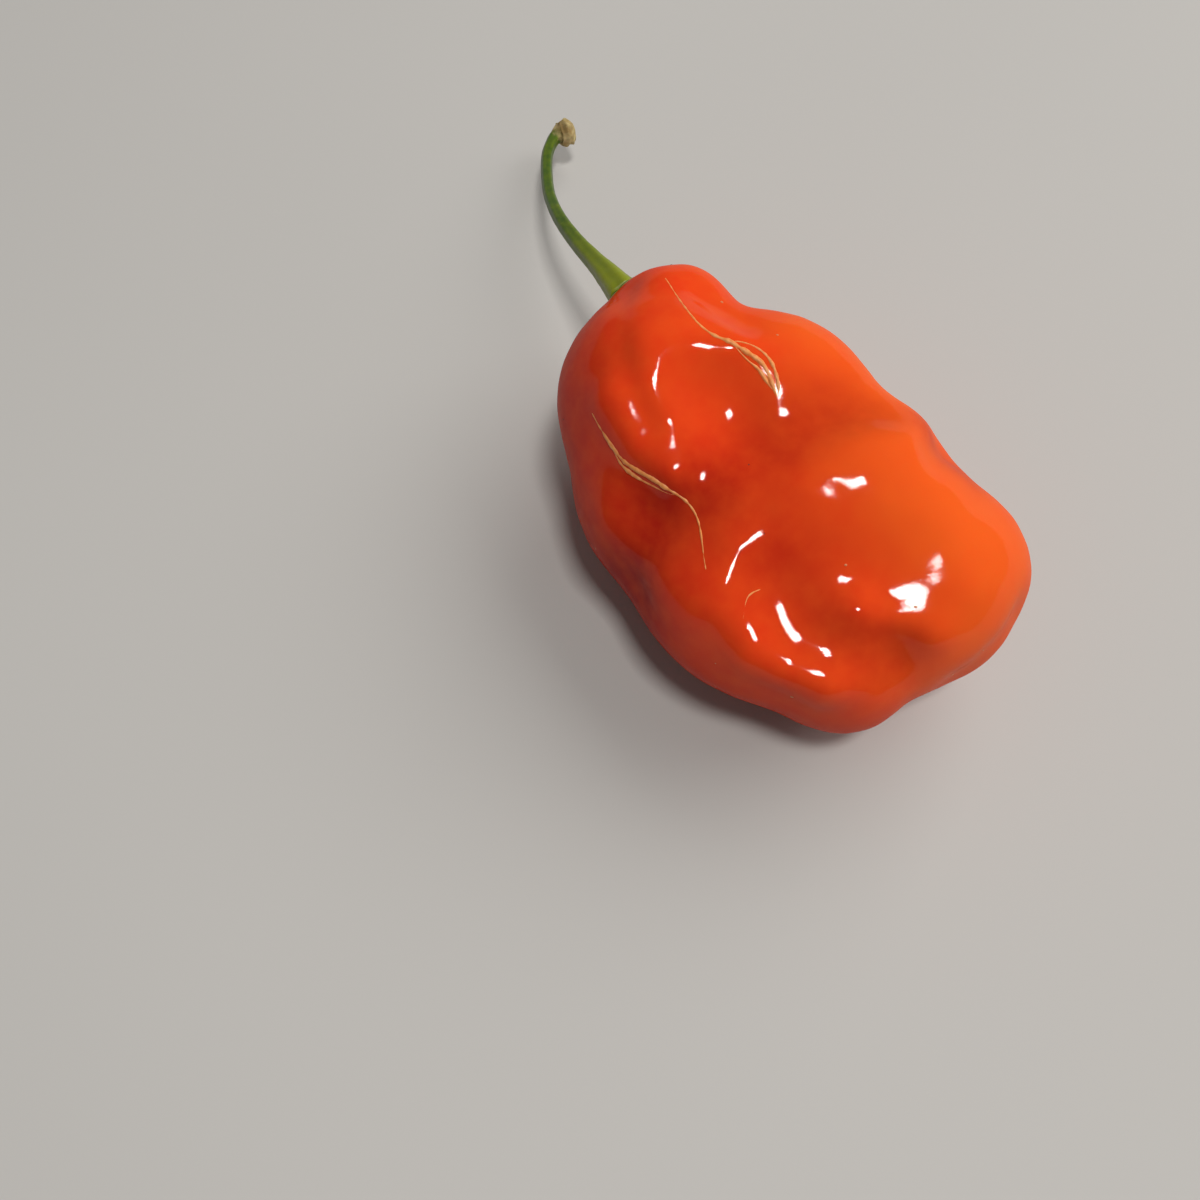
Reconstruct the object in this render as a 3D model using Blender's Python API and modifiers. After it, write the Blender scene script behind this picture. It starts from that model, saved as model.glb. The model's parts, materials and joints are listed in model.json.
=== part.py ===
"""A ripe lantern chilli with its calyx and stem, lying on its side.

The pod is one closed body: rounded swellings run into each other, and creases, hollows and
ridges are pressed into or raised from the skin.
X runs from the stem end to the blossom end, Z is up, and the pod rests on the plane z = 0.
"""
import math

import bmesh
import bpy
import numpy as np
from mathutils import Matrix, Vector

MM = 0.001                          # the tables below are in millimetres
GAP = 0.3                           # air left between touching pieces, mm

# Where the pod's own middle stands in the object's frame, mm.
POD_MIDDLE = np.array((19.43, -4.81, 0.0))

# The pod's swellings: centre x, y, z, half-lengths x, y, z, and turn about Z in degrees.
SWELLINGS = {
    "middle": (0, 0, 18.5, 24, 14.5, 14.5, 12),
    "belly": (-1, -1, 12.5, 22, 14, 13.5, 0),
    "shoulder": (-17.5, -0.5, 20.5, 15.2, 14, 15.3, 0),
    "far_bump": (-7.1, 8.3, 22.5, 13, 11.1, 11.5, 0),
    "near_shelf": (4, -12, 16, 15.5, 10.9, 11.9, -6),
    "near_tip": (16, -9.2, 15.2, 12.5, 8.8, 12.7, -6),
    "left_flank": (-9.7, -9.6, 16, 12.5, 10.3, 12, -6),
    "near_top": (8, -5, 17, 14, 11, 12, 0),
    "crown": (7.5, 6, 20.5, 14, 12.7, 13.7, 0),
    "tip": (20.5, 4.5, 17, 12.8, 14.5, 12, 0),
    "stem_end": (-25, 7.5, 19.5, 8.5, 8.5, 12.5, 0),
}
BLEND = 1.5                         # how softly neighbouring swellings run together, mm

# Lines on the skin: depth (grooves positive, ridges negative), half-width, then points.
LINES = {
    "dish": (2.3, 5.4, ((-11, -4, 34), (-9, -2.8, 33.5))),
    "rim_top": (-0.95, 3.2, ((-19.5, -2.5, 36), (-17.3, 1, 36.8), (-13.5, 4, 37))),
    "rim_right": (-1.1, 3.2, ((-10.8, 4.6, 36.4), (-7.9, 3.2, 36), (-5, 2, 35))),
    "rim_left": (-1, 3, ((-16, -7.8, 34.5), (-12, -8, 33.3), (-8.8, -8, 32.5))),
    "side_ridge": (-1.4, 2.3, ((-19, -10.7, 32), (-13, -12.6, 31), (-8, -12.6, 31))),
    "left_hump": (-0.6, 3, ((-13, -7.8, 34), (-11.5, -8, 33.5))),
    "left_line": (0.5, 1.4, ((-29.5, 4, 29.7), (-27, 1, 30.7), (-22, -4, 33), (-18.4, -7.6, 33.8),
                             (-13.4, -9.8, 33))),
    "stem_valley": (0.8, 2, ((-29.5, 10, 26.5), (-21, 8, 32), (-15, 8.5, 34.7))),
    "valley": (1.5, 3, ((4, 11, 34), (2, 8, 34.5), (-1, 3, 34), (-2.5, -2.5, 33))),
    "crown_crest": (-0.4, 2.2, ((10, 11, 34), (6, 6.5, 35.5), (4.3, 1, 35), (4.5, -3, 34))),
    "near_fall": (0.5, 3, ((12.5, -9, 31.5), (16, -8, 31))),
    "far_pocket": (1.6, 2, ((12.5, 16, 27.5), (13, 12, 32))),
    "under_scar": (1.5, 3, ((-6.5, -16.5, 26), (-4.5, -18.5, 22), (-3, -19.5, 20))),
    "hollow": (1.6, 2.8, ((11, -13.3, 30), (15.5, -13.5, 29.3), (20.5, -12, 27.8), (25, -9.5, 26))),
    "ridge_two": (-1.4, 2.6, ((19.5, -9, 30), (22, -8, 29.5), (24, -6.5, 28.8), (27, -4.7, 27.5))),
    "tip_top": (-0.8, 3.2, ((21, 6.5, 30.5), (25, 3, 29.5))),
    "near_lobe": (-2, 2.6, ((13.5, -19.8, 24.5), (17.5, -18.9, 24.5), (21.5, -16.8, 24))),
    "near_left": (-1.6, 3, ((-10, -17.5, 23), (-3, -19, 23), (3, -19.5, 24))),
    "near_ridge": (-1.3, 3.2, ((4, -14, 31.5), (5.5, -16.5, 30), (6.5, -19, 28))),
    "tip_notch": (1.5, 2.8, ((32.5, 8, 20), (33, 3, 19), (32, -1, 17))),
}
SKIN_HEART = np.array((0.0, 0.0, 18.0))     # every point of the skin can be seen from here
SKIN_REACH = (4.0, 48.0)                    # nearest and farthest skin from the heart, mm
SKIN_HALVINGS = 26                          # bisection steps along each spoke

# The calyx sits on a small flat seat that faces along the stem.
SEAT_CENTRE = Vector((-33.0, 7.4, 21.3))
SEAT_NORMAL = Vector((-0.90, 0.28, -0.33)).normalized()
SEAT_REACH = (4.6, 11.0)            # the seat is flat out to the first radius and fades by the second
CALYX_RADIUS = 3.4
CALYX_RIM = 0.7
CALYX_NECK_RADIUS = 2.3
CALYX_HEIGHT = 1.8

# The stem's middle line and its half-thickness, mm, from the calyx to the dry picked end.
STEM = (
    (-35.1, 8.1, 20.8, 2.0),
    (-38.5, 9.2, 19.5, 1.75),
    (-42.0, 10.3, 18.0, 1.5),
    (-48.0, 12.3, 15.5, 1.2),
    (-54.0, 14.8, 13.0, 1.05),
    (-59.5, 18.0, 10.5, 0.95),
    (-64.0, 21.6, 8.6, 0.9),
    (-67.7, 25.2, 7.2, 0.88),
    (-69.5, 28.0, 6.5, 0.95),
    (-69.9, 29.4, 6.3, 1.2),
    (-69.7, 30.2, 6.2, 1.9),
    (-69.3, 31.4, 6.2, 1.95),
    (-69.0, 32.1, 6.2, 1.3),
)
STEM_STEPS = 3                      # points on the smooth line between two given ones

AROUND, ALONG = 60, 40              # faces of the pod's skin round its length and along it

COLOURS = {                         # linear base colour, roughness
    "pod": ((0.80, 0.060, 0.010, 1.0), 0.20),
    "calyx": ((0.16, 0.24, 0.02, 1.0), 0.55),
    "stem": ((0.11, 0.19, 0.015, 1.0), 0.50),
}


def clear_scene():
    """Remove every object of the open file."""
    for thing in list(bpy.data.objects):
        bpy.data.objects.remove(thing, do_unlink=True)


def swelling_distance(points, swelling):
    """Signed distance, about, from points to one swelling's ellipsoid."""
    centre, radii = np.array(swelling[:3], float), np.array(swelling[3:6], float)
    turn = math.radians(swelling[6])
    x, y, z = (points - centre).T
    turned = np.stack((
        x * math.cos(turn) + y * math.sin(turn),
        y * math.cos(turn) - x * math.sin(turn),
        z,
    ), axis=-1)
    near = np.linalg.norm(turned / radii, axis=-1)
    slope = np.linalg.norm(turned / radii ** 2, axis=-1)
    return near * (near - 1.0) / np.maximum(slope, 1e-9)


def line_distance(points, line):
    """Distance from points to the nearest part of a bent line."""
    nearest = np.full(len(points), np.inf)
    for start, end in zip(line[:-1], line[1:]):
        start, along = np.array(start, float), np.subtract(end, start).astype(float)
        share = np.clip((points - start) @ along / (along @ along), 0.0, 1.0)
        away = np.linalg.norm(points - start - share[:, None] * along, axis=-1)
        nearest = np.minimum(nearest, away)
    return nearest


def skin_field(points):
    """Below zero inside the pod and above zero outside it."""
    blended = sum(np.exp(-swelling_distance(points, s) / BLEND) for s in SWELLINGS.values())
    field = -BLEND * np.log(blended)
    for depth, half_width, line in LINES.values():
        field += depth * np.exp(-0.5 * (line_distance(points, line) / half_width) ** 2)
    return field


def skin_points(directions):
    """The pod's skin along each direction from its heart, cut flat at the ground and the seat."""
    low = np.full(len(directions), SKIN_REACH[0])
    high = np.full(len(directions), SKIN_REACH[1])
    for _ in range(SKIN_HALVINGS):
        middle = (low + high) / 2
        inside = skin_field(SKIN_HEART + directions * middle[:, None]) < 0
        low = np.where(inside, middle, low)
        high = np.where(inside, high, middle)
    points = SKIN_HEART + directions * low[:, None]
    points[:, 2] = np.maximum(points[:, 2], 0.0)
    normal = np.array(SEAT_NORMAL)
    height = (points - np.array(SEAT_CENTRE)) @ normal
    aside = np.linalg.norm(points - np.array(SEAT_CENTRE) - height[:, None] * normal, axis=1)
    share = np.interp(aside, SEAT_REACH, (1.0, 0.0))
    return points - (share * share * (3 - 2 * share) * np.maximum(height, 0.0))[:, None] * normal


def finish(part, name):
    """Give a part its own simple material and link it to the object's collection."""
    material = bpy.data.materials.new(name)
    material.use_nodes = True
    shader = material.node_tree.nodes["Principled BSDF"]
    colour, roughness = COLOURS[name]
    shader.inputs["Base Color"].default_value = colour
    shader.inputs["Roughness"].default_value = roughness
    part.data.materials.append(material)
    return part


def make_pod(collection):
    """A sphere whose points are moved along their spokes on to the pod's skin."""
    ball = bmesh.new()
    poles_along_x = Matrix.Rotation(math.radians(90), 4, "Y")
    bmesh.ops.create_uvsphere(
        ball, u_segments=AROUND, v_segments=ALONG, radius=1.0, matrix=poles_along_x)
    directions = np.array([vertex.co.normalized() for vertex in ball.verts])
    for vertex, point in zip(ball.verts, skin_points(directions) + POD_MIDDLE):
        vertex.co = point * MM
    mesh = bpy.data.meshes.new("pod")
    ball.to_mesh(mesh)
    ball.free()
    mesh.shade_smooth()
    pod = bpy.data.objects.new("pod", mesh)
    collection.objects.link(pod)
    return finish(pod, "pod")


def make_calyx(collection):
    """A low turned cap on the seat, thick where the stem leaves it."""
    outline = (
        (0.0, CALYX_HEIGHT),
        (CALYX_NECK_RADIUS, CALYX_HEIGHT),
        (CALYX_NECK_RADIUS * 1.2, CALYX_HEIGHT * 0.65),
        (CALYX_RADIUS * 0.85, CALYX_RIM),
        (CALYX_RADIUS, CALYX_RIM * 0.5),
        (CALYX_RADIUS * 0.97, 0.0),
        (0.0, 0.0),
    )
    mesh = bpy.data.meshes.new("calyx")
    corners = [(radius * MM, 0.0, (height + GAP) * MM) for radius, height in outline]
    mesh.from_pydata(corners, [(i, i + 1) for i in range(len(corners) - 1)], [])
    calyx = bpy.data.objects.new("calyx", mesh)
    calyx.location = (SEAT_CENTRE + Vector(POD_MIDDLE)) * MM
    calyx.rotation_euler = SEAT_NORMAL.to_track_quat("Z", "Y").to_euler()
    collection.objects.link(calyx)
    turned = calyx.modifiers.new("turned", "SCREW")
    turned.steps = turned.render_steps = 28
    turned.use_merge_vertices = True
    turned.merge_threshold = 0.00001
    return finish(calyx, "calyx")


def smooth_line(points, steps):
    """Points on the curve through the given ones, Catmull-Rom, with their half-thickness."""
    rows = np.array(points, float)
    rows = np.vstack((2 * rows[0] - rows[1], rows, 2 * rows[-1] - rows[-2]))
    curve = []
    for a, b, c, d in zip(rows[:-3], rows[1:-2], rows[2:-1], rows[3:]):
        for t in np.arange(steps) / steps:
            curve.append(0.5 * (2 * b + (c - a) * t + (2 * a - 5 * b + 4 * c - d) * t ** 2
                                + (3 * b - a - 3 * c + d) * t ** 3))
    return curve + [rows[-2]]


def make_stem(collection):
    """A tapering bent tube with closed ends and a thicker dry end."""
    line = smooth_line(STEM, STEM_STEPS)
    curve = bpy.data.curves.new("stem", "CURVE")
    curve.dimensions = "3D"
    curve.bevel_depth = MM
    curve.bevel_resolution = 4
    curve.use_fill_caps = True
    spline = curve.splines.new("POLY")
    spline.points.add(len(line) - 1)
    for point, row in zip(spline.points, line):
        point.co = (*((row[:3] + POD_MIDDLE) * MM), 1.0)
        point.radius = row[3]
    stem = bpy.data.objects.new("stem", curve)
    collection.objects.link(stem)
    return finish(stem, "stem")


def main():
    clear_scene()
    collection = bpy.data.collections.new("lantern_chilli")
    bpy.context.scene.collection.children.link(collection)
    make_pod(collection)
    make_calyx(collection)
    make_stem(collection)


main()
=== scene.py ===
"""A ripe lantern chilli lying on its side: its skin, scars, specks, calyx and stem, on a pale floor.

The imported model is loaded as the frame. Every finer piece is built around it, in metres, at the origin.
"""

import json
import math

import bmesh
import bpy
import numpy as np
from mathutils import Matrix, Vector, noise


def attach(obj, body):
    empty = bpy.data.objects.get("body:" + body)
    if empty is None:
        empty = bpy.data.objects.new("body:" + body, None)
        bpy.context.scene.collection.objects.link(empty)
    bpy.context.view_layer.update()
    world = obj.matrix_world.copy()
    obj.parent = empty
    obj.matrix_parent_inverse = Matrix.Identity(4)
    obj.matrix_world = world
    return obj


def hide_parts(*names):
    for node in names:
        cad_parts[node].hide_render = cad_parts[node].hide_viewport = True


bl_info = {
    "name": "Lantern Chilli",
    "version": (1, 0, 0),
    "blender": (4, 5, 0),
    "location": "3D View > Sidebar > Chilli",
    "description": "Builds the skin, scars, calyx and stem of a ripe lantern chilli",
    "category": "Add Mesh",
}

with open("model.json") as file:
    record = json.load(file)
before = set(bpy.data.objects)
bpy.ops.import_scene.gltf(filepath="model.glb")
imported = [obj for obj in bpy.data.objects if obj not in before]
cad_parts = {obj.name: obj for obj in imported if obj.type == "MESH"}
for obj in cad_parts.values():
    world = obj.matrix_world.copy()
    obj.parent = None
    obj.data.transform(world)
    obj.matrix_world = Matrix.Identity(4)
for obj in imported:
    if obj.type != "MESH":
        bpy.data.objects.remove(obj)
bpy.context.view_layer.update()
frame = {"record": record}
BODY = "root"
MM = 0.001                          # the tables below are in millimetres from the pod's middle

# The resting patch is under the pod's middle, so the tables start from its place in the frame.
RESTING_PATCH = next(m for m in frame["record"]["mounts"] if m["name"] == "resting_patch")
POD_MIDDLE = np.array(RESTING_PATCH["pos_m"]) / MM

# The pod's swellings: centre x, y, z, half-lengths x, y, z, and turn about Z in degrees.
SWELLINGS = {
    "middle": (0, 0, 18.5, 24, 14.5, 14.5, 12),
    "belly": (-1, -1, 12.5, 22, 14, 13.5, 0),
    "shoulder": (-17.5, -0.5, 20.5, 15.2, 14, 15.3, 0),
    "far_bump": (-7.1, 8.3, 22.5, 13, 11.1, 11.5, 0),
    "near_shelf": (4, -12, 16, 15.5, 10.9, 11.9, -6),
    "near_tip": (16, -9.2, 15.2, 12.5, 8.8, 12.7, -6),
    "left_flank": (-9.7, -9.6, 16, 12.5, 10.3, 12, -6),
    "near_top": (8, -5, 17, 14, 11, 12, 0),
    "crown": (7.5, 6, 20.5, 14, 12.7, 13.7, 0),
    "tip": (20.5, 4.5, 17, 12.8, 14.5, 12, 0),
    "stem_end": (-25, 7.5, 19.5, 8.5, 8.5, 12.5, 0),
}
BLEND = 1.5                         # how softly neighbouring swellings run together, mm

# Lines on the skin: depth (grooves positive, ridges negative), half-width, then points.
LINES = {
    "dish": (2.3, 5.4, ((-11, -4, 34), (-9, -2.8, 33.5))),
    "rim_top": (-0.95, 3.2, ((-19.5, -2.5, 36), (-17.3, 1, 36.8), (-13.5, 4, 37))),
    "rim_right": (-1.1, 3.2, ((-10.8, 4.6, 36.4), (-7.9, 3.2, 36), (-5, 2, 35))),
    "rim_left": (-1, 3, ((-16, -7.8, 34.5), (-12, -8, 33.3), (-8.8, -8, 32.5))),
    "side_ridge": (-1.4, 2.3, ((-19, -10.7, 32), (-13, -12.6, 31), (-8, -12.6, 31))),
    "left_hump": (-0.6, 3, ((-13, -7.8, 34), (-11.5, -8, 33.5))),
    "left_line": (0.5, 1.4, ((-29.5, 4, 29.7), (-27, 1, 30.7), (-22, -4, 33), (-18.4, -7.6, 33.8),
                             (-13.4, -9.8, 33))),
    "stem_valley": (0.8, 2, ((-29.5, 10, 26.5), (-21, 8, 32), (-15, 8.5, 34.7))),
    "valley": (1.5, 3, ((4, 11, 34), (2, 8, 34.5), (-1, 3, 34), (-2.5, -2.5, 33))),
    "crown_crest": (-0.4, 2.2, ((10, 11, 34), (6, 6.5, 35.5), (4.3, 1, 35), (4.5, -3, 34))),
    "near_fall": (0.5, 3, ((12.5, -9, 31.5), (16, -8, 31))),
    "far_pocket": (1.6, 2, ((12.5, 16, 27.5), (13, 12, 32))),
    "under_scar": (1.5, 3, ((-6.5, -16.5, 26), (-4.5, -18.5, 22), (-3, -19.5, 20))),
    "hollow": (1.6, 2.8, ((11, -13.3, 30), (15.5, -13.5, 29.3), (20.5, -12, 27.8), (25, -9.5, 26))),
    "ridge_two": (-1.4, 2.6, ((19.5, -9, 30), (22, -8, 29.5), (24, -6.5, 28.8), (27, -4.7, 27.5))),
    "tip_top": (-0.8, 3.2, ((21, 6.5, 30.5), (25, 3, 29.5))),
    "near_lobe": (-2, 2.6, ((13.5, -19.8, 24.5), (17.5, -18.9, 24.5), (21.5, -16.8, 24))),
    "near_left": (-1.6, 3, ((-10, -17.5, 23), (-3, -19, 23), (3, -19.5, 24))),
    "near_ridge": (-1.3, 3.2, ((4, -14, 31.5), (5.5, -16.5, 30), (6.5, -19, 28))),
    "tip_notch": (1.5, 2.8, ((32.5, 8, 20), (33, 3, 19), (32, -1, 17))),
}
SKIN_HEART = np.array((0.0, 0.0, 18.0))     # every point of the skin can be seen from here
SKIN_REACH = (4.0, 48.0)                    # nearest and farthest skin from the heart, mm
SKIN_HALVINGS = 20                          # bisection steps along each spoke
RIPPLE_SIZE = 2.6                           # breadth of the skin's faint unevenness, mm

SEAT_CENTRE = np.array((-33.0, 7.4, 21.3))  # where the calyx sits on the pod
SEAT_NORMAL = np.array(Vector((-0.90, 0.28, -0.33)).normalized())
SEAT_REACH = (4.6, 11.0)            # the seat is flat out to the first radius and fades by the second

# The stem's middle line and its half-thickness, mm, from inside the calyx to the dry picked end.
STEM = (
    (-33.6, 7.6, 21.1, 2.3),
    (-35.1, 8.1, 20.6, 2.15),
    (-38.5, 9.2, 19.4, 1.75),
    (-42.0, 10.3, 18.0, 1.4),
    (-48.0, 12.3, 15.5, 1.15),
    (-54.0, 14.8, 13.0, 1.0),
    (-59.5, 18.0, 10.5, 0.9),
    (-64.0, 21.6, 8.6, 0.88),
    (-67.7, 25.2, 7.2, 0.88),
    (-69.5, 28.0, 6.5, 0.95),
    (-69.9, 29.4, 6.3, 1.2),
    (-69.7, 30.2, 6.2, 1.9),
    (-69.3, 31.4, 6.2, 1.95),
    (-69.0, 32.1, 6.2, 1.3),
)
DRY_END_START = 0.93                # share of the stem's length where it turns dry and tan

# Routes of the corky stretch scars, near the skin: over the shoulder, along the side, up the near lobe.
SCAR_ROUTES = {
    "upper": ((-25, 6.5, 31.5), (-18, 3, 36), (-13, 4, 36), (-9, 5, 34.5), (-5, 3.5, 33)),
    "left": ((3, -17, 28.5), (-3, -12.5, 28.5), (-8, -12.5, 29), (-14, -13.5, 29), (-20, -12, 30)),
    "near": ((10, -18, 27), (8.5, -15.5, 27.5), (9, -13.5, 27.5)),
}
# Strands: route, half-thickness, widest gap beside the route, and shares where it starts and ends.
SCARS = (
    ("upper", 0.40, 0.0, 0.0, 1.0),
    ("upper", 0.27, 0.9, 0.5, 1.0),
    ("upper", 0.25, -0.7, 0.5, 0.95),
    ("left", 0.40, 0.0, 0.0, 1.0),
    ("left", 0.30, 0.9, 0.4, 0.8),
    ("near", 0.10, 0.0, 0.0, 1.0),
)
SCAR_STEPS = 24                     # points on the smooth line between two given ones
SCAR_SINK = 0.72                    # share of a strand's half-thickness that lies below the skin
# Share of a strand's length, and its thickness there as a share of its greatest.
SCAR_TAPER = ((0.0, 0.25, 0.45, 0.65, 0.85, 1.0), (0.20, 0.38, 0.75, 1.0, 0.85, 0.15))

# Painted shading on the skin: painted shade (deep red, in the creases and on the shaded near side) positive
# and painted light (orange, on the swellings that face the light) negative, half-width, then points.
PAINTED_SHADING = {
    "waist": (0.60, 3.2, ((3, 10, 34), (-1, 2, 34), (-2.5, -4, 33), (-3, -9, 31))),
    "hollow": (0.45, 3.5, ((7, -11.5, 31), (13.5, -12, 30), (19.5, -11, 28), (25.5, -8.5, 26))),
    "under_scar": (0.75, 4.5, ((-7, -15, 26), (-4, -18.5, 21), (-3, -19, 15))),
    "near_side": (0.80, 7.5, ((-31, -2, 16), (-22, -13, 15), (-10, -19, 11), (6, -22, 7), (20, -18, 5))),
    "stem_side": (0.40, 4.0, ((-31, 3, 24), (-27, -4, 27), (-22, -9, 27))),
    "far_pocket": (0.50, 2.2, ((9.5, 15.5, 30), (13, 15, 29), (16, 15.5, 26))),
    "far_bump": (-0.50, 5.0, ((-8, 15, 29), (-1, 16, 29))),
    "crown": (-0.50, 5.5, ((6, 7, 34), (11, 11, 32), (15, 6, 32))),
    "tip": (-0.35, 6.0, ((22, 12, 26), (27, 6, 26), (29, 0, 22))),
}


# ---------------------------------------------------------------- shape of the skin

def swelling_distance(points, swelling):
    """Signed distance, about, from points to one swelling's ellipsoid."""
    centre, radii = np.array(swelling[:3], float), np.array(swelling[3:6], float)
    turn = math.radians(swelling[6])
    x, y, z = (points - centre).T
    turned = np.stack((
        x * math.cos(turn) + y * math.sin(turn),
        y * math.cos(turn) - x * math.sin(turn),
        z,
    ), axis=-1)
    near = np.linalg.norm(turned / radii, axis=-1)
    slope = np.linalg.norm(turned / radii ** 2, axis=-1)
    return near * (near - 1.0) / np.maximum(slope, 1e-9)


def line_distance(points, line):
    """Distance from points to the nearest part of a bent line."""
    nearest = np.full(len(points), np.inf)
    for start, end in zip(line[:-1], line[1:]):
        start, along = np.array(start, float), np.subtract(end, start).astype(float)
        share = np.clip((points - start) @ along / (along @ along), 0.0, 1.0)
        away = np.linalg.norm(points - start - share[:, None] * along, axis=-1)
        nearest = np.minimum(nearest, away)
    return nearest


def skin_field(points):
    """Below zero inside the pod and above zero outside it."""
    blended = sum(np.exp(-swelling_distance(points, s) / BLEND) for s in SWELLINGS.values())
    field = -BLEND * np.log(blended)
    for depth, half_width, line in LINES.values():
        field += depth * np.exp(-0.5 * (line_distance(points, line) / half_width) ** 2)
    return field


def skin_points(directions):
    """The pod's skin along each direction from its heart, cut flat at the ground and the seat."""
    low = np.full(len(directions), SKIN_REACH[0])
    high = np.full(len(directions), SKIN_REACH[1])
    for _ in range(SKIN_HALVINGS):
        middle = (low + high) / 2
        inside = skin_field(SKIN_HEART + directions * middle[:, None]) < 0
        low = np.where(inside, middle, low)
        high = np.where(inside, high, middle)
    points = SKIN_HEART + directions * low[:, None]
    points[:, 2] = np.maximum(points[:, 2], 0.0)
    height = (points - SEAT_CENTRE) @ SEAT_NORMAL
    aside = np.linalg.norm(points - SEAT_CENTRE - height[:, None] * SEAT_NORMAL, axis=1)
    share = np.interp(aside, SEAT_REACH, (1.0, 0.0))
    return points - (share * share * (3 - 2 * share) * np.maximum(height, 0.0))[:, None] * SEAT_NORMAL


def on_skin(points):
    """Points moved along their spokes from the pod's heart on to its skin."""
    spokes = np.array(points, float) - SKIN_HEART
    return skin_points(spokes / np.linalg.norm(spokes, axis=-1, keepdims=True))


def placed(points):
    """Table points, mm from the pod's middle, as metres in the object's frame."""
    return (np.array(points, float) + POD_MIDDLE) * MM


def smooth_line(points, steps):
    """Points on the Catmull-Rom curve through the given rows."""
    rows = np.array(points, float)
    rows = np.vstack((2 * rows[0] - rows[1], rows, 2 * rows[-1] - rows[-2]))
    curve = []
    for a, b, c, d in zip(rows[:-3], rows[1:-2], rows[2:-1], rows[3:]):
        for t in np.arange(steps) / steps:
            curve.append(0.5 * (2 * b + (c - a) * t + (2 * a - 5 * b + 4 * c - d) * t ** 2
                                + (3 * b - a - 3 * c + d) * t ** 3))
    return np.array(curve + [rows[-2]])


# ---------------------------------------------------------------- materials

class Nodes:
    """A short way to add and join the nodes of one material or node tree."""

    def __init__(self, tree):
        self.tree = tree

    def add(self, kind, inputs=(), **settings):
        node = self.tree.nodes.new(kind)
        for name, value in settings.items():
            setattr(node, name, value)
        for name, value in dict(inputs).items():
            self.set(node.inputs[name], value)
        return node

    def set(self, socket, value):
        if isinstance(value, bpy.types.NodeSocket):
            self.tree.links.new(value, socket)
        else:
            socket.default_value = value

    def mix(self, share, first, second, blend="MIX"):
        """The colour that is first where share is 0 and second where it is 1."""
        node = self.add("ShaderNodeMix", data_type="RGBA", blend_type=blend)
        for socket, value in ((node.inputs[0], share), (node.inputs[6], first), (node.inputs[7], second)):
            self.set(socket, value)
        return node.outputs[2]

    def map_range(self, value, low, high, to_low=0.0, to_high=1.0):
        node = self.add("ShaderNodeMapRange", {
            "Value": value, "From Min": low, "From Max": high, "To Min": to_low, "To Max": to_high})
        return node.outputs["Result"]

    def noise(self, where, scale, detail=3.0, roughness=0.5):
        node = self.add("ShaderNodeTexNoise", {
            "Vector": where, "Scale": scale, "Detail": detail, "Roughness": roughness})
        return node.outputs["Fac"]

    def attribute(self, name):
        return self.add("ShaderNodeAttribute", attribute_name=name).outputs["Fac"]

    def bump(self, height, strength, distance):
        inputs = {"Height": height, "Strength": strength, "Distance": distance}
        return self.add("ShaderNodeBump", inputs).outputs["Normal"]


def new_material(name):
    """An empty material with its node helper and shader, ready for its colour."""
    material = bpy.data.materials.new(name)
    material.use_nodes = True
    nodes = Nodes(material.node_tree)
    shader = material.node_tree.nodes["Principled BSDF"]
    where = nodes.add("ShaderNodeTexCoord").outputs["Object"]
    return material, nodes, shader, where


def skin_material(settings):
    """Glossy waxy skin, clear-coated and fleshy: painted shade makes it deep red in the creases, painted
    light makes the swellings orange.
    """
    material, nodes, shader, where = new_material("chilli_skin")
    broad = nodes.noise(where, 90.0, 2.0)
    fine = nodes.noise(where, 420.0, 3.0)
    # painted light: the stored share of painted light, plus orange tone that varies at random
    painted_light_and_tone = nodes.add("ShaderNodeMath", operation="ADD")
    nodes.set(painted_light_and_tone.inputs[0], nodes.attribute("painted_light"))
    nodes.set(painted_light_and_tone.inputs[1], nodes.map_range(broad, 0.3, 0.7, -0.18, 0.18))
    colour = nodes.mix(painted_light_and_tone.outputs[0], settings.skin_colour, settings.orange_tone_and_painted_light_colour)
    # painted shade: deep red where the stored share of painted shade is high
    colour = nodes.mix(nodes.attribute("painted_shade"), colour, settings.painted_shade_colour)
    colour = nodes.mix(nodes.map_range(fine, 0.35, 0.7, 0.0, 0.20), colour, settings.orange_tone_and_painted_light_colour)
    nodes.set(shader.inputs["Base Color"], colour)
    nodes.set(shader.inputs["Roughness"], nodes.map_range(fine, 0.3, 0.7, 0.28, 0.38))
    nodes.set(shader.inputs["Normal"], nodes.bump(fine, 0.25, 0.00012))
    pores = nodes.noise(where, 2600.0, 2.0, 0.6)
    nodes.set(shader.inputs["Coat Normal"], nodes.bump(pores, 0.5, 0.000012))
    shader.inputs["Specular IOR Level"].default_value = 0.0
    shader.inputs["Coat Weight"].default_value = settings.gloss
    shader.inputs["Coat IOR"].default_value = 2.0
    shader.inputs["Coat Roughness"].default_value = 0.06
    shader.inputs["Subsurface Weight"].default_value = 0.25
    shader.inputs["Subsurface Radius"].default_value = (1.0, 0.22, 0.06)
    shader.inputs["Subsurface Scale"].default_value = 0.0025
    return material


def cork_material():
    """Dry tan stretch scars, mottled at random between red-tan and paler orange."""
    material, nodes, shader, where = new_material("cork_scar")
    grain = nodes.noise(where, 1800.0, 4.0)
    colour = nodes.mix(nodes.map_range(grain, 0.3, 0.7), (0.76, 0.22, 0.045, 1.0), (0.93, 0.42, 0.13, 1.0))
    nodes.set(shader.inputs["Base Color"], colour)
    nodes.set(shader.inputs["Normal"], nodes.bump(grain, 0.4, 0.00005))
    shader.inputs["Roughness"].default_value = 0.42
    return material


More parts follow.
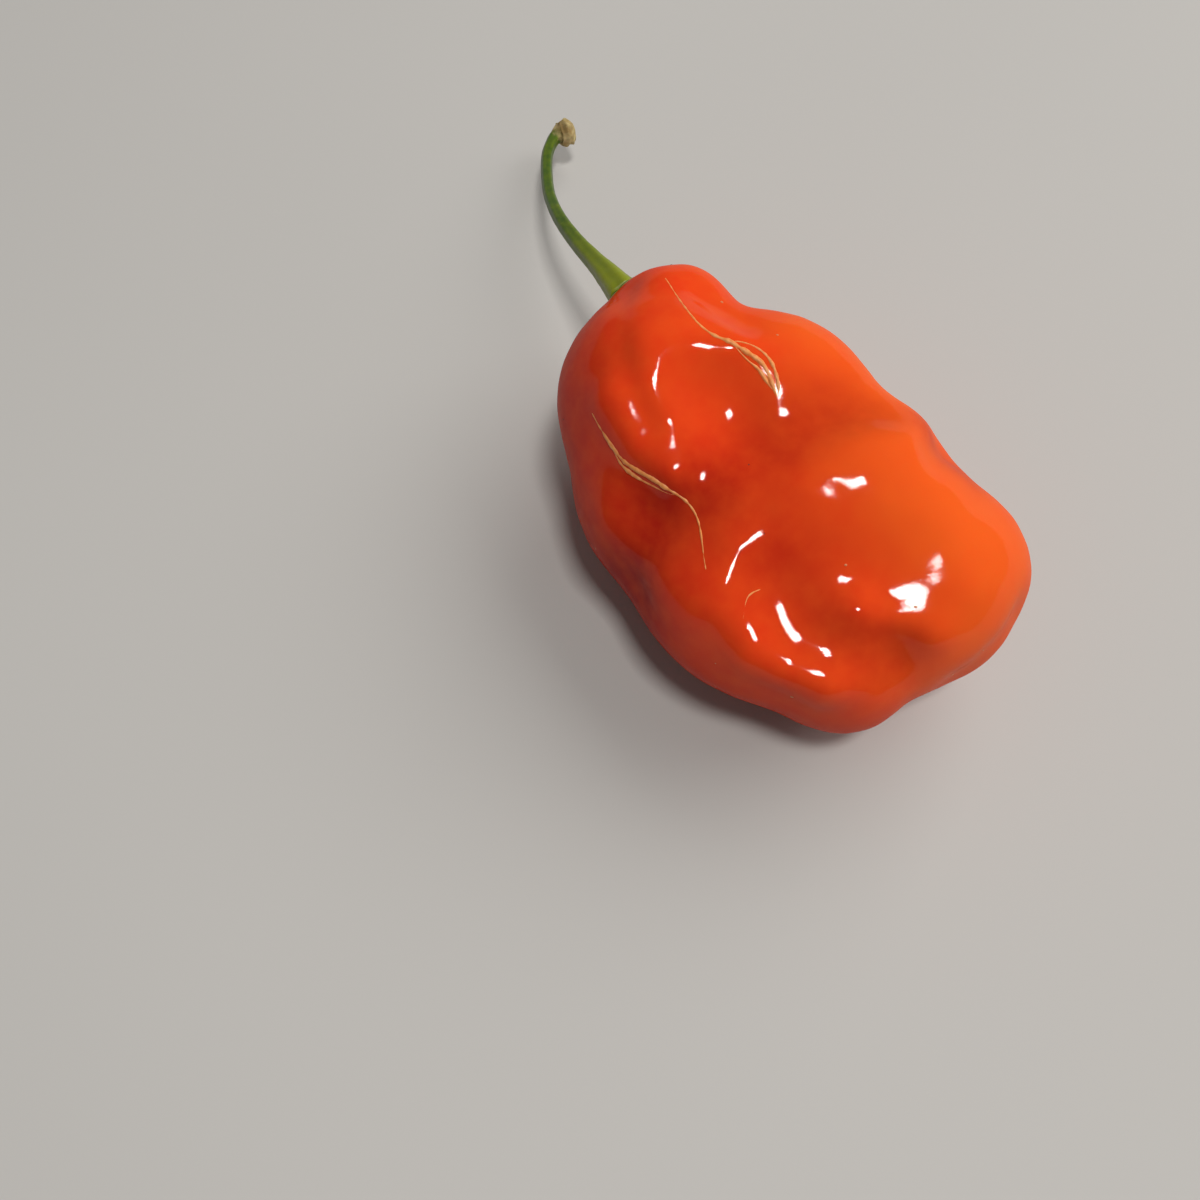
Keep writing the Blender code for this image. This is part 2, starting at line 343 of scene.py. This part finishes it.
def speck_material(name, colour, roughness):
    """One tiny corky or dark speck's finish, slightly mottled."""
    material, nodes, shader, where = new_material(name)
    grain = nodes.noise(where, 3000.0, 2.0)
    darker = tuple(c * 0.7 for c in colour[:3]) + (1.0,)
    nodes.set(shader.inputs["Base Color"], nodes.mix(grain, darker, colour))
    shader.inputs["Roughness"].default_value = roughness
    return material


def stem_material(settings):
    """Green stem: yellower at the calyx, darker along its middle, with painted shade in the grooves between
    its ribs, tan and dry at the picked end.
    """
    material, nodes, shader, where = new_material("stem_green")
    along = nodes.attribute("along")
    streaks = nodes.noise(where, 700.0, 4.0, 0.6)
    green = nodes.mix(nodes.map_range(along, 0.04, 0.42), settings.base_green, settings.stem_green)
    green = nodes.mix(nodes.map_range(streaks, 0.4, 0.75, 0.0, 0.45), green, settings.base_green)
    # painted shade: darker green in the grooves between the ribs
    ribs = nodes.attribute("rib")
    green = nodes.mix(nodes.map_range(ribs, -1.0, 1.0, 0.35, 0.0), green, (0.03, 0.06, 0.006, 1.0))
    dry = nodes.mix(nodes.map_range(streaks, 0.35, 0.65), (0.30, 0.20, 0.07, 1.0), (0.62, 0.50, 0.24, 1.0))
    ragged = nodes.add("ShaderNodeMath", operation="ADD")
    nodes.set(ragged.inputs[0], along)
    nodes.set(ragged.inputs[1], nodes.map_range(streaks, 0.3, 0.7, -0.012, 0.012))
    dryness = nodes.map_range(ragged.outputs[0], DRY_END_START - 0.012, DRY_END_START + 0.012)
    nodes.set(shader.inputs["Base Color"], nodes.mix(dryness, green, dry))
    nodes.set(shader.inputs["Roughness"], nodes.map_range(dryness, 0.0, 1.0, 0.42, 0.85))
    nodes.set(shader.inputs["Normal"], nodes.bump(streaks, 0.35, 0.0001))
    shader.inputs["Subsurface Weight"].default_value = 0.08
    shader.inputs["Subsurface Radius"].default_value = (0.5, 1.0, 0.2)
    shader.inputs["Subsurface Scale"].default_value = 0.0008
    return material


def calyx_material(settings):
    """Green cap with a paler, slightly dry rim."""
    material, nodes, shader, where = new_material("calyx_green")
    grain = nodes.noise(where, 900.0, 4.0, 0.6)
    green = nodes.mix(nodes.map_range(grain, 0.35, 0.7), settings.stem_green, settings.base_green)
    rim = nodes.map_range(nodes.attribute("rim"), 0.72, 1.0)
    nodes.set(shader.inputs["Base Color"], nodes.mix(rim, green, (0.42, 0.30, 0.10, 1.0)))
    nodes.set(shader.inputs["Normal"], nodes.bump(grain, 0.4, 0.0001))
    shader.inputs["Roughness"].default_value = 0.5
    return material


def floor_material(settings):
    """Plain pale matt floor."""
    material, nodes, shader, where = new_material("pale_floor")
    cloud = nodes.noise(where, 6.0, 2.0)
    tint = nodes.map_range(cloud, 0.3, 0.7, 0.97, 1.0)
    nodes.set(shader.inputs["Base Color"], nodes.mix(1.0, settings.floor_colour, tint, "MULTIPLY"))
    shader.inputs["Roughness"].default_value = 0.7
    return material


# ---------------------------------------------------------------- building helpers

def link(name, mesh, material, replaced=()):
    """Put a finished mesh in the scene and tie it to the object's body."""
    mesh.name = name
    piece = bpy.data.objects.new(name, mesh)
    bpy.context.scene.collection.objects.link(piece)
    if not mesh.materials:
        mesh.materials.append(material)
    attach(piece, BODY)
    if replaced:
        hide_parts(*replaced)
    return piece


def set_attribute(mesh, name, values):
    """Store one number for each vertex under a name that the materials read."""
    layer = mesh.attributes.new(name, "FLOAT", "POINT")
    layer.data.foreach_set("value", np.asarray(values, dtype=np.float32))


def apply_geometry_nodes(name, source, tree, inputs):
    """Run a node tree on a source object and return the result as a plain mesh."""
    carrier = bpy.data.objects.new(name + "_source", source)
    bpy.context.scene.collection.objects.link(carrier)
    modifier = carrier.modifiers.new(name, "NODES")
    modifier.node_group = tree
    for item in tree.interface.items_tree:
        if item.name in inputs:
            modifier[item.identifier] = inputs[item.name]
    evaluated = carrier.evaluated_get(bpy.context.evaluated_depsgraph_get())
    mesh = bpy.data.meshes.new_from_object(evaluated)
    bpy.data.objects.remove(carrier)
    if not mesh.vertices:
        raise RuntimeError(f"{name} came out empty")
    return mesh


def new_tree(name, sockets):
    """A geometry node tree with named inputs, and its node helper."""
    tree = bpy.data.node_groups.new(name, "GeometryNodeTree")
    tree.interface.new_socket("Geometry", in_out="INPUT", socket_type="NodeSocketGeometry")
    for socket_name, kind in sockets:
        tree.interface.new_socket(socket_name, in_out="INPUT", socket_type=kind)
    tree.interface.new_socket("Geometry", in_out="OUTPUT", socket_type="NodeSocketGeometry")
    nodes = Nodes(tree)
    return tree, nodes, nodes.add("NodeGroupInput").outputs, nodes.add("NodeGroupOutput").inputs


# ---------------------------------------------------------------- the pod

def ball_cage(cuts):
    """A cube cut into even squares, whose points give well-spread directions."""
    cage = bmesh.new()
    bmesh.ops.create_cube(cage, size=2.0)
    bmesh.ops.subdivide_edges(cage, edges=cage.edges, cuts=cuts, use_grid_fill=True)
    corners = np.tan(np.array([v.co for v in cage.verts]) * math.pi / 4)
    return cage, corners / np.linalg.norm(corners, axis=1, keepdims=True)


def ripples(points):
    """Faint unevenness of the wall under the skin, -1 to 1."""
    return np.array([noise.noise(Vector(p) / RIPPLE_SIZE) for p in points])


def painted_shading_shares(points):
    """How much painted shade (deep red) and painted light (orange) the skin gets at each point, 0 to 1 each.
    """
    # painted light and shade: more orange towards the far side and the tip, redder towards the near side
    painted_light = 0.34 + 0.008 * points[:, 1] + 0.004 * points[:, 0]
    painted_shade = np.zeros(len(points))
    for amount, half_width, line in PAINTED_SHADING.values():
        share = abs(amount) * np.exp(-0.5 * (line_distance(points, line) / half_width) ** 2)
        if amount > 0:
            painted_shade += share
        else:
            painted_light += share
    return np.clip(painted_shade, 0.0, 1.0), np.clip(painted_light, 0.0, 1.0)


def make_skin(settings):
    """The whole skin at full detail, with its shares of painted shade and painted light stored on it."""
    cage, directions = ball_cage(118)
    points = skin_points(directions)
    lifted = np.clip(points[:, 2] / 4.0, 0.0, 1.0)
    off_seat = np.clip(-((points - SEAT_CENTRE) @ SEAT_NORMAL) / 2.0, 0.0, 1.0)
    push = settings.ripple_depth / MM * ripples(points) * lifted * off_seat
    points = points + directions * push[:, None]
    for vertex, point in zip(cage.verts, placed(points)):
        vertex.co = point
    mesh = bpy.data.meshes.new("pod_skin")
    cage.to_mesh(mesh)
    cage.free()
    mesh.shade_smooth()
    painted_shade, painted_light = painted_shading_shares(points)
    set_attribute(mesh, "painted_shade", painted_shade)
    set_attribute(mesh, "painted_light", painted_light)
    return mesh


# ---------------------------------------------------------------- scars and specks

def scar_tree(material):
    """Turns strands into tapering corky cords of uneven thickness."""
    tree, nodes, given, result = new_tree("scar_strands", (
        ("Thickness", "NodeSocketFloat"), ("Unevenness", "NodeSocketFloat")))
    lumps = nodes.add("ShaderNodeTexNoise", {"Scale": 900.0, "Detail": 2.0})
    uneven = nodes.add("ShaderNodeMapRange", {
        "Value": lumps.outputs["Fac"], "From Min": 0.3, "From Max": 0.7})
    lowest = nodes.add("ShaderNodeMath", {0: 1.0, 1: given["Unevenness"]}, operation="SUBTRACT")
    highest = nodes.add("ShaderNodeMath", {0: 1.0, 1: given["Unevenness"]}, operation="ADD")
    nodes.set(uneven.inputs["To Min"], lowest.outputs[0])
    nodes.set(uneven.inputs["To Max"], highest.outputs[0])
    scale = nodes.add("ShaderNodeMath", {0: uneven.outputs["Result"], 1: given["Thickness"]},
                      operation="MULTIPLY")
    own = nodes.add("GeometryNodeInputRadius").outputs[0]
    scale = nodes.add("ShaderNodeMath", {0: scale.outputs[0], 1: own}, operation="MULTIPLY")
    outline = nodes.add("GeometryNodeCurvePrimitiveCircle", {"Resolution": 10, "Radius": 1.0})
    cords = nodes.add("GeometryNodeCurveToMesh", {
        "Curve": given["Geometry"], "Profile Curve": outline.outputs["Curve"], "Fill Caps": True})
    nodes.set(cords.inputs["Scale"], scale.outputs[0])
    real = nodes.add("GeometryNodeRealizeInstances", {"Geometry": cords.outputs[0]})
    finish = nodes.add("GeometryNodeSetMaterial", {"Geometry": real.outputs[0], "Material": material})
    nodes.set(result["Geometry"], finish.outputs[0])
    return tree


def strand_line(route, gap, start, end):
    """Points on the skin along a share of a route; a side strand leaves it and runs back into it."""
    line = smooth_line(SCAR_ROUTES[route], SCAR_STEPS)
    last = len(line) - 1
    line = line[round(start * last):round(end * last) + 1]
    sideways = np.cross(line - SKIN_HEART, np.gradient(line, axis=0))
    sideways /= np.linalg.norm(sideways, axis=1, keepdims=True)
    spread = np.sqrt(np.sin(np.linspace(0.0, math.pi, len(line))).clip(0.0))
    return on_skin(line + gap * spread[:, None] * sideways)


def make_scars(settings):
    """Every corky strand, laid along the skin."""
    curve = bpy.data.curves.new("scar_lines", "CURVE")
    curve.dimensions = "3D"
    for route, thickness, gap, start, end in SCARS:
        line = strand_line(route, gap, start, end)
        radii = thickness * np.interp(np.linspace(0.0, 1.0, len(line)), *SCAR_TAPER)
        spokes = line - SKIN_HEART
        spokes /= np.linalg.norm(spokes, axis=1, keepdims=True)
        line = line - SCAR_SINK * radii[:, None] * spokes
        spline = curve.splines.new("POLY")
        spline.points.add(len(line) - 1)
        for point, place, radius in zip(spline.points, placed(line), radii):
            point.co = (*place, 1.0)
            point.radius = radius
    material = cork_material()
    mesh = apply_geometry_nodes("skin_scars", curve, scar_tree(material), {
        "Thickness": settings.scar_thickness, "Unevenness": 0.35})
    mesh.shade_smooth()
    return mesh, material


def speck_tree(material):
    """Scatters tiny flat lumps over a skin."""
    tree, nodes, given, result = new_tree("specks", (
        ("Density", "NodeSocketFloat"), ("Smallest", "NodeSocketFloat"),
        ("Largest", "NodeSocketFloat"), ("Seed", "NodeSocketInt")))
    scatter = nodes.add("GeometryNodeDistributePointsOnFaces", {
        "Mesh": given["Geometry"], "Density": given["Density"], "Seed": given["Seed"]})
    lump = nodes.add("GeometryNodeMeshIcoSphere", {"Radius": 1.0, "Subdivisions": 2})
    flat = nodes.add("GeometryNodeTransform", {"Geometry": lump.outputs["Mesh"], "Scale": (1.0, 0.8, 0.35)})
    size = nodes.add("FunctionNodeRandomValue", {
        "Min": given["Smallest"], "Max": given["Largest"], "Seed": given["Seed"]})
    for socket in size.inputs:
        if socket.type == "VALUE" and socket.name == "Min":
            nodes.set(socket, given["Smallest"])
        if socket.type == "VALUE" and socket.name == "Max":
            nodes.set(socket, given["Largest"])
    value = next(s for s in size.outputs if s.type == "VALUE")
    spread = nodes.add("GeometryNodeInstanceOnPoints", {
        "Points": scatter.outputs["Points"], "Instance": flat.outputs[0],
        "Rotation": scatter.outputs["Rotation"], "Scale": value})
    real = nodes.add("GeometryNodeRealizeInstances", {"Geometry": spread.outputs[0]})
    finish = nodes.add("GeometryNodeSetMaterial", {"Geometry": real.outputs[0], "Material": material})
    nodes.set(result["Geometry"], finish.outputs[0])
    return tree


def make_specks(name, skin, material, density, smallest, largest, seed):
    """One kind of speck over the skin, in metres."""
    mesh = apply_geometry_nodes(name, skin.copy(), speck_tree(material), {
        "Density": density, "Smallest": smallest, "Largest": largest, "Seed": seed})
    mesh.shade_smooth()
    return mesh


# ---------------------------------------------------------------- calyx and stem

def seat_axes():
    """Two directions across the seat, square to its normal and to each other."""
    across = np.cross(SEAT_NORMAL, (0.0, 0.0, 1.0))
    across /= np.linalg.norm(across)
    return across, np.cross(SEAT_NORMAL, across)


def skin_under(points):
    """Height of the skin along the seat's normal under each point of the seat's plane."""
    low, high = np.full(len(points), -5.0), np.full(len(points), 0.0)
    for _ in range(SKIN_HALVINGS):
        middle = (low + high) / 2
        inside = skin_field(points + middle[:, None] * SEAT_NORMAL) < 0
        low = np.where(inside, middle, low)
        high = np.where(inside, high, middle)
    return low


def make_calyx(settings):
    """A thin lobed cap that follows the skin, swelling into the neck that holds the stem."""
    around, rings = 120, 18
    turn = np.arange(around) / around * 2 * math.pi
    reach = settings.calyx_radius / MM * (
        1 + 0.09 * np.cos(5 * turn + 0.6) + 0.03 * np.cos(11 * turn + 1.0))
    across, up = seat_axes()
    layers = []
    for share in np.linspace(0.0, 1.0, rings):
        radius = share * reach
        plane = (SEAT_CENTRE + radius[:, None] * (np.cos(turn)[:, None] * across
                                                  + np.sin(turn)[:, None] * up))
        height = skin_under(plane)
        edge = math.sqrt(max(0.0, 1.0 - share ** 6))
        neck = 1.9 / (1.0 + (share * 2.1) ** 4)
        ribs = 0.10 * np.cos(5 * turn + 0.6) * math.sin(math.pi * share)
        layers.append(plane + (height + 0.10 + 0.28 * edge + neck + ribs)[:, None] * SEAT_NORMAL)
    under = plane + (height - 0.25)[:, None] * SEAT_NORMAL
    layers.append(under)
    shell = bmesh.new()
    rim_layer = shell.verts.layers.float.new("rim")
    grid = []
    for number, layer in enumerate(layers):
        row = [shell.verts.new(point) for point in placed(layer)]
        for vertex in row:
            vertex[rim_layer] = min(1.0, number / (rings - 1))
        grid.append(row)
    for inner, outer in zip(grid[:-1], grid[1:]):
        for i in range(around):
            j = (i + 1) % around
            shell.faces.new((inner[i], outer[i], outer[j], inner[j]))
    shell.faces.new(list(reversed(grid[-1])))
    bmesh.ops.remove_doubles(shell, verts=grid[0], dist=1e-6)
    bmesh.ops.recalc_face_normals(shell, faces=shell.faces)
    mesh = bpy.data.meshes.new("calyx_cap")
    shell.to_mesh(mesh)
    shell.free()
    mesh.shade_smooth()
    return mesh


def make_stem(settings):
    """A ribbed, tapering stalk swept along its bend, flared and ragged at the dry end."""
    line = smooth_line(STEM, 9)
    places, radii = line[:, :3], line[:, 3]
    steps = np.linalg.norm(np.diff(places, axis=0), axis=1)
    along = np.concatenate(((0.0,), np.cumsum(steps))) / steps.sum()
    around = 48
    turn = np.arange(around) / around * 2 * math.pi
    tangents = np.gradient(places, axis=0)
    tangents /= np.linalg.norm(tangents, axis=1, keepdims=True)
    side = np.cross(tangents, (0.0, 0.0, 1.0))
    side /= np.linalg.norm(side, axis=1, keepdims=True)
    rise = np.cross(side, tangents)
    stalk = bmesh.new()
    along_layer = stalk.verts.layers.float.new("along")
    rib_layer = stalk.verts.layers.float.new("rib")
    rows = []
    for place, radius, share, a, b in zip(places, radii, along, side, rise):
        ribs = np.cos(5 * turn + 2.5 * share)
        dry = min(1.0, max(0.0, (share - DRY_END_START) / 0.02))
        rough = np.array([noise.noise(Vector((math.cos(t) * 2, math.sin(t) * 2, share * 60))) for t in turn])
        uneven = 1 + settings.rib_depth * ribs * (1 - 0.6 * dry) + (0.03 + 0.22 * dry) * rough
        ring = place + (radius * uneven)[:, None] * (np.cos(turn)[:, None] * a + np.sin(turn)[:, None] * b)
        row = [stalk.verts.new(point) for point in placed(ring)]
        for vertex, rib in zip(row, ribs):
            vertex[along_layer] = share
            vertex[rib_layer] = rib
        rows.append(row)
    for first, second in zip(rows[:-1], rows[1:]):
        for i in range(around):
            j = (i + 1) % around
            stalk.faces.new((first[i], first[j], second[j], second[i]))
    for row, place, share, sink in ((rows[0], places[0], 0.0, 0.0), (rows[-1], places[-1], 1.0, 0.45)):
        middle = stalk.verts.new(placed(place - sink * tangents[-1]))
        middle[along_layer] = share
        for i in range(around):
            stalk.faces.new((row[i], row[(i + 1) % around], middle))
    bmesh.ops.recalc_face_normals(stalk, faces=stalk.faces)
    mesh = bpy.data.meshes.new("stem_stalk")
    stalk.to_mesh(mesh)
    stalk.free()
    mesh.shade_smooth()
    return mesh


# ---------------------------------------------------------------- settings

class ChilliPodSettings(bpy.types.PropertyGroup):
    """Sizes and colours of the pod."""

    skin_colour: bpy.props.FloatVectorProperty(
        name="Skin", description="Ripe red of the skin", subtype="COLOR", size=4,
        default=(0.80, 0.036, 0.006, 1.0))
    # painted light: the orange that the swellings and the far side turn where light falls, also used for the
    # skin's random orange mottling
    orange_tone_and_painted_light_colour: bpy.props.FloatVectorProperty(
        name="Warm skin", description="Orange of the swellings that catch the light", subtype="COLOR",
        size=4, default=(0.92, 0.115, 0.012, 1.0))
    # painted shade: the deep red put in the creases and on the shaded near side
    painted_shade_colour: bpy.props.FloatVectorProperty(
        name="Creases", description="Deep red in the creases", subtype="COLOR", size=4,
        default=(0.38, 0.007, 0.002, 1.0))
    gloss: bpy.props.FloatProperty(
        name="Gloss", description="Strength of the waxy clear layer", default=0.22, min=0.0, max=1.0)
    ripple_depth: bpy.props.FloatProperty(
        name="Ripple depth", description="Height of the skin's faint unevenness", unit="LENGTH",
        default=0.00006, min=0.0, max=0.001)
    scar_thickness: bpy.props.FloatProperty(
        name="Scar thickness", description="Size of the scars' unit of thickness", unit="LENGTH",
        default=0.001, min=0.0, max=0.005)
    pale_specks: bpy.props.FloatProperty(
        name="Pale specks", description="Pale specks on each square metre of skin", default=4500.0, min=0.0)
    dark_specks: bpy.props.FloatProperty(
        name="Dark specks", description="Dark specks on each square metre of skin", default=1300.0, min=0.0)


class ChilliStemSettings(bpy.types.PropertyGroup):
    """Sizes and colours of the calyx and the stem."""

    base_green: bpy.props.FloatVectorProperty(
        name="Base green", description="Yellow-green where the stem leaves the pod", subtype="COLOR",
        size=4, default=(0.27, 0.31, 0.012, 1.0))
    stem_green: bpy.props.FloatVectorProperty(
        name="Stem green", description="Green along the stem", subtype="COLOR", size=4,
        default=(0.060, 0.120, 0.010, 1.0))
    rib_depth: bpy.props.FloatProperty(
        name="Rib depth", description="Height of the lengthwise ribs as a share of the stem's radius",
        default=0.06, min=0.0, max=0.5)
    calyx_radius: bpy.props.FloatProperty(
        name="Calyx radius", description="Reach of the cap on the pod", unit="LENGTH",
        default=0.0036, min=0.001, max=0.01)


class ChilliStageSettings(bpy.types.PropertyGroup):
    """The floor, the lights and the view."""

    floor_colour: bpy.props.FloatVectorProperty(
        name="Floor", description="Pale floor", subtype="COLOR", size=4, default=(0.56, 0.55, 0.53, 1.0))
    floor_size: bpy.props.FloatProperty(
        name="Floor size", description="Side of the square floor", unit="LENGTH", default=4.0)
    key_power: bpy.props.FloatProperty(
        name="Key light", description="Power of the main light", unit="POWER", default=3.4)
    fill_power: bpy.props.FloatProperty(
        name="Fill light", description="Power of the broad light", unit="POWER", default=11.0)
    sky: bpy.props.FloatProperty(
        name="Sky", description="Strength of the even light from all round", default=0.12)
    lens: bpy.props.FloatProperty(
        name="Lens", description="Focal length on a 36 mm sensor", default=36.09, min=1.0)


# ---------------------------------------------------------------- operators

class CHILLI_OT_skin(bpy.types.Operator):
    """Build the pod's skin"""

    bl_idname = "chilli.skin"
    bl_label = "Pod skin"

    def execute(self, context):
        settings = context.scene.chilli_pod
        link("pod_skin", make_skin(settings), skin_material(settings), ("pod",))
        return {"FINISHED"}


class CHILLI_OT_scars(bpy.types.Operator):
    """Lay the corky scars on the skin"""

    bl_idname = "chilli.scars"
    bl_label = "Scars"

    def execute(self, context):
        mesh, material = make_scars(context.scene.chilli_pod)
        link("skin_scars", mesh, material)
        return {"FINISHED"}


class CHILLI_OT_specks(bpy.types.Operator):
    """Scatter pale and dark specks over the skin"""

    bl_idname = "chilli.specks"
    bl_label = "Specks"

    def execute(self, context):
        skin = bpy.data.objects.get("pod_skin")
        if skin is None:
            raise RuntimeError("build the pod's skin before its specks")
        settings = context.scene.chilli_pod
        pale = speck_material("pale_speck", (0.85, 0.30, 0.12, 1.0), 0.5)
        dark = speck_material("dark_speck", (0.10, 0.02, 0.01, 1.0), 0.5)
        link("pale_specks", make_specks(
            "pale_specks", skin.data, pale, settings.pale_specks, 0.00010, 0.00024, 4), pale)
        link("dark_specks", make_specks(
            "dark_specks", skin.data, dark, settings.dark_specks, 0.00008, 0.00016, 11), dark)
        return {"FINISHED"}


class CHILLI_OT_calyx(bpy.types.Operator):
    """Build the green cap between pod and stem"""

    bl_idname = "chilli.calyx"
    bl_label = "Calyx"

    def execute(self, context):
        settings = context.scene.chilli_stem
        link("calyx_cap", make_calyx(settings), calyx_material(settings), ("calyx",))
        return {"FINISHED"}


class CHILLI_OT_stem(bpy.types.Operator):
    """Build the bent green stem with its dry end"""

    bl_idname = "chilli.stem"
    bl_label = "Stem"

    def execute(self, context):
        settings = context.scene.chilli_stem
        link("stem_stalk", make_stem(settings), stem_material(settings), ("stem",))
        return {"FINISHED"}


class CHILLI_OT_stage(bpy.types.Operator):
    """Set the pale floor, the soft lights and the view"""

    bl_idname = "chilli.stage"
    bl_label = "Stage"

    def execute(self, context):
        settings = context.scene.chilli_stage
        make_floor(settings)
        make_lights(settings)
        make_camera(settings)
        return {"FINISHED"}


# ---------------------------------------------------------------- the stage

CAMERA_PLACE = (33.2, -64.1, 154.9)         # mm from the pod's middle on the floor
CAMERA_AIM = Vector((-0.2649, 0.2649, -0.9272))


def make_floor(settings):
    """A large flat floor under the chilli."""
    plane = bmesh.new()
    bmesh.ops.create_grid(plane, x_segments=1, y_segments=1, size=settings.floor_size / 2)
    mesh = bpy.data.meshes.new("floor")
    plane.to_mesh(mesh)
    plane.free()
    mesh.materials.append(floor_material(settings))
    floor = bpy.data.objects.new("floor", mesh)
    bpy.context.scene.collection.objects.link(floor)


def add_light(name, azimuth, elevation, distance, size, power, colour, mirrored):
    """An area light aimed at the pod from a direction in degrees, with or without a mirror image."""
    lamp = bpy.data.lights.new(name, "AREA")
    lamp.shape = "RECTANGLE"
    lamp.size, lamp.size_y = size
    lamp.energy = power
    lamp.color = colour
    light = bpy.data.objects.new(name, lamp)
    bpy.context.scene.collection.objects.link(light)
    side, rise = math.radians(azimuth), math.radians(elevation)
    away = Vector((math.cos(side) * math.cos(rise), math.sin(side) * math.cos(rise), math.sin(rise)))
    light.location = Vector(placed(SKIN_HEART)) + away * distance
    light.rotation_euler = away.to_track_quat("Z", "Y").to_euler()
    light.visible_glossy = mirrored


def make_lights(settings):
    """One small bright light overhead for the sharp glints, and broad soft ones."""
    add_light("key", -15, 79, 0.9, (0.17, 0.11), settings.key_power, (1.0, 0.97, 0.94), True)
    add_light("fill", 80, 45, 1.2, (1.4, 1.0), settings.fill_power, (1.0, 0.98, 0.95), False)
    world = bpy.data.worlds.new("studio")
    world.use_nodes = True
    background = world.node_tree.nodes["Background"]
    background.inputs["Color"].default_value = (1.0, 0.99, 0.97, 1.0)
    background.inputs["Strength"].default_value = settings.sky
    bpy.context.scene.world = world
    bpy.context.scene.view_settings.view_transform = "Standard"


def make_camera(settings):
    """A camera looking steeply down on the pod."""
    lens = bpy.data.cameras.new("camera")
    lens.sensor_width = 36.0
    lens.lens = settings.lens
    lens.clip_start = 0.001
    camera = bpy.data.objects.new("camera", lens)
    bpy.context.scene.collection.objects.link(camera)
    camera.location = placed(CAMERA_PLACE)
    camera.rotation_euler = CAMERA_AIM.to_track_quat("-Z", "Y").to_euler()
    bpy.context.scene.camera = camera


# ---------------------------------------------------------------- panel and registration

class CHILLI_PT_panel(bpy.types.Panel):
    """Builds the chilli piece by piece"""

    bl_idname = "CHILLI_PT_panel"
    bl_label = "Lantern Chilli"
    bl_space_type = "VIEW_3D"
    bl_region_type = "UI"
    bl_category = "Chilli"

    def draw(self, context):
        for group, names in (
                (context.scene.chilli_pod, ("skin_colour", "orange_tone_and_painted_light_colour", "painted_shade_colour", "gloss",
                                            "ripple_depth", "scar_thickness", "pale_specks",
                                            "dark_specks")),
                (context.scene.chilli_stem, ("base_green", "stem_green", "rib_depth", "calyx_radius")),
                (context.scene.chilli_stage, ("floor_colour", "floor_size", "key_power", "fill_power",
                                              "sky", "lens"))):
            box = self.layout.box()
            for name in names:
                box.prop(group, name)
        for operator in OPERATORS:
            self.layout.operator(operator.bl_idname)


SETTINGS = {
    "chilli_pod": ChilliPodSettings,
    "chilli_stem": ChilliStemSettings,
    "chilli_stage": ChilliStageSettings,
}
OPERATORS = (
    CHILLI_OT_stage,
    CHILLI_OT_skin,
    CHILLI_OT_scars,
    CHILLI_OT_specks,
    CHILLI_OT_calyx,
    CHILLI_OT_stem,
)


def register():
    for name, group in SETTINGS.items():
        bpy.utils.register_class(group)
        setattr(bpy.types.Scene, name, bpy.props.PointerProperty(type=group))
    for item in OPERATORS + (CHILLI_PT_panel,):
        bpy.utils.register_class(item)


def unregister():
    for item in reversed(OPERATORS + (CHILLI_PT_panel,)):
        bpy.utils.unregister_class(item)
    for name, group in SETTINGS.items():
        delattr(bpy.types.Scene, name)
        bpy.utils.unregister_class(group)


def main():
    register()
    for operator in OPERATORS:
        group, name = operator.bl_idname.split(".")
        getattr(getattr(bpy.ops, group), name)()


if __name__ == "__main__":
    main()
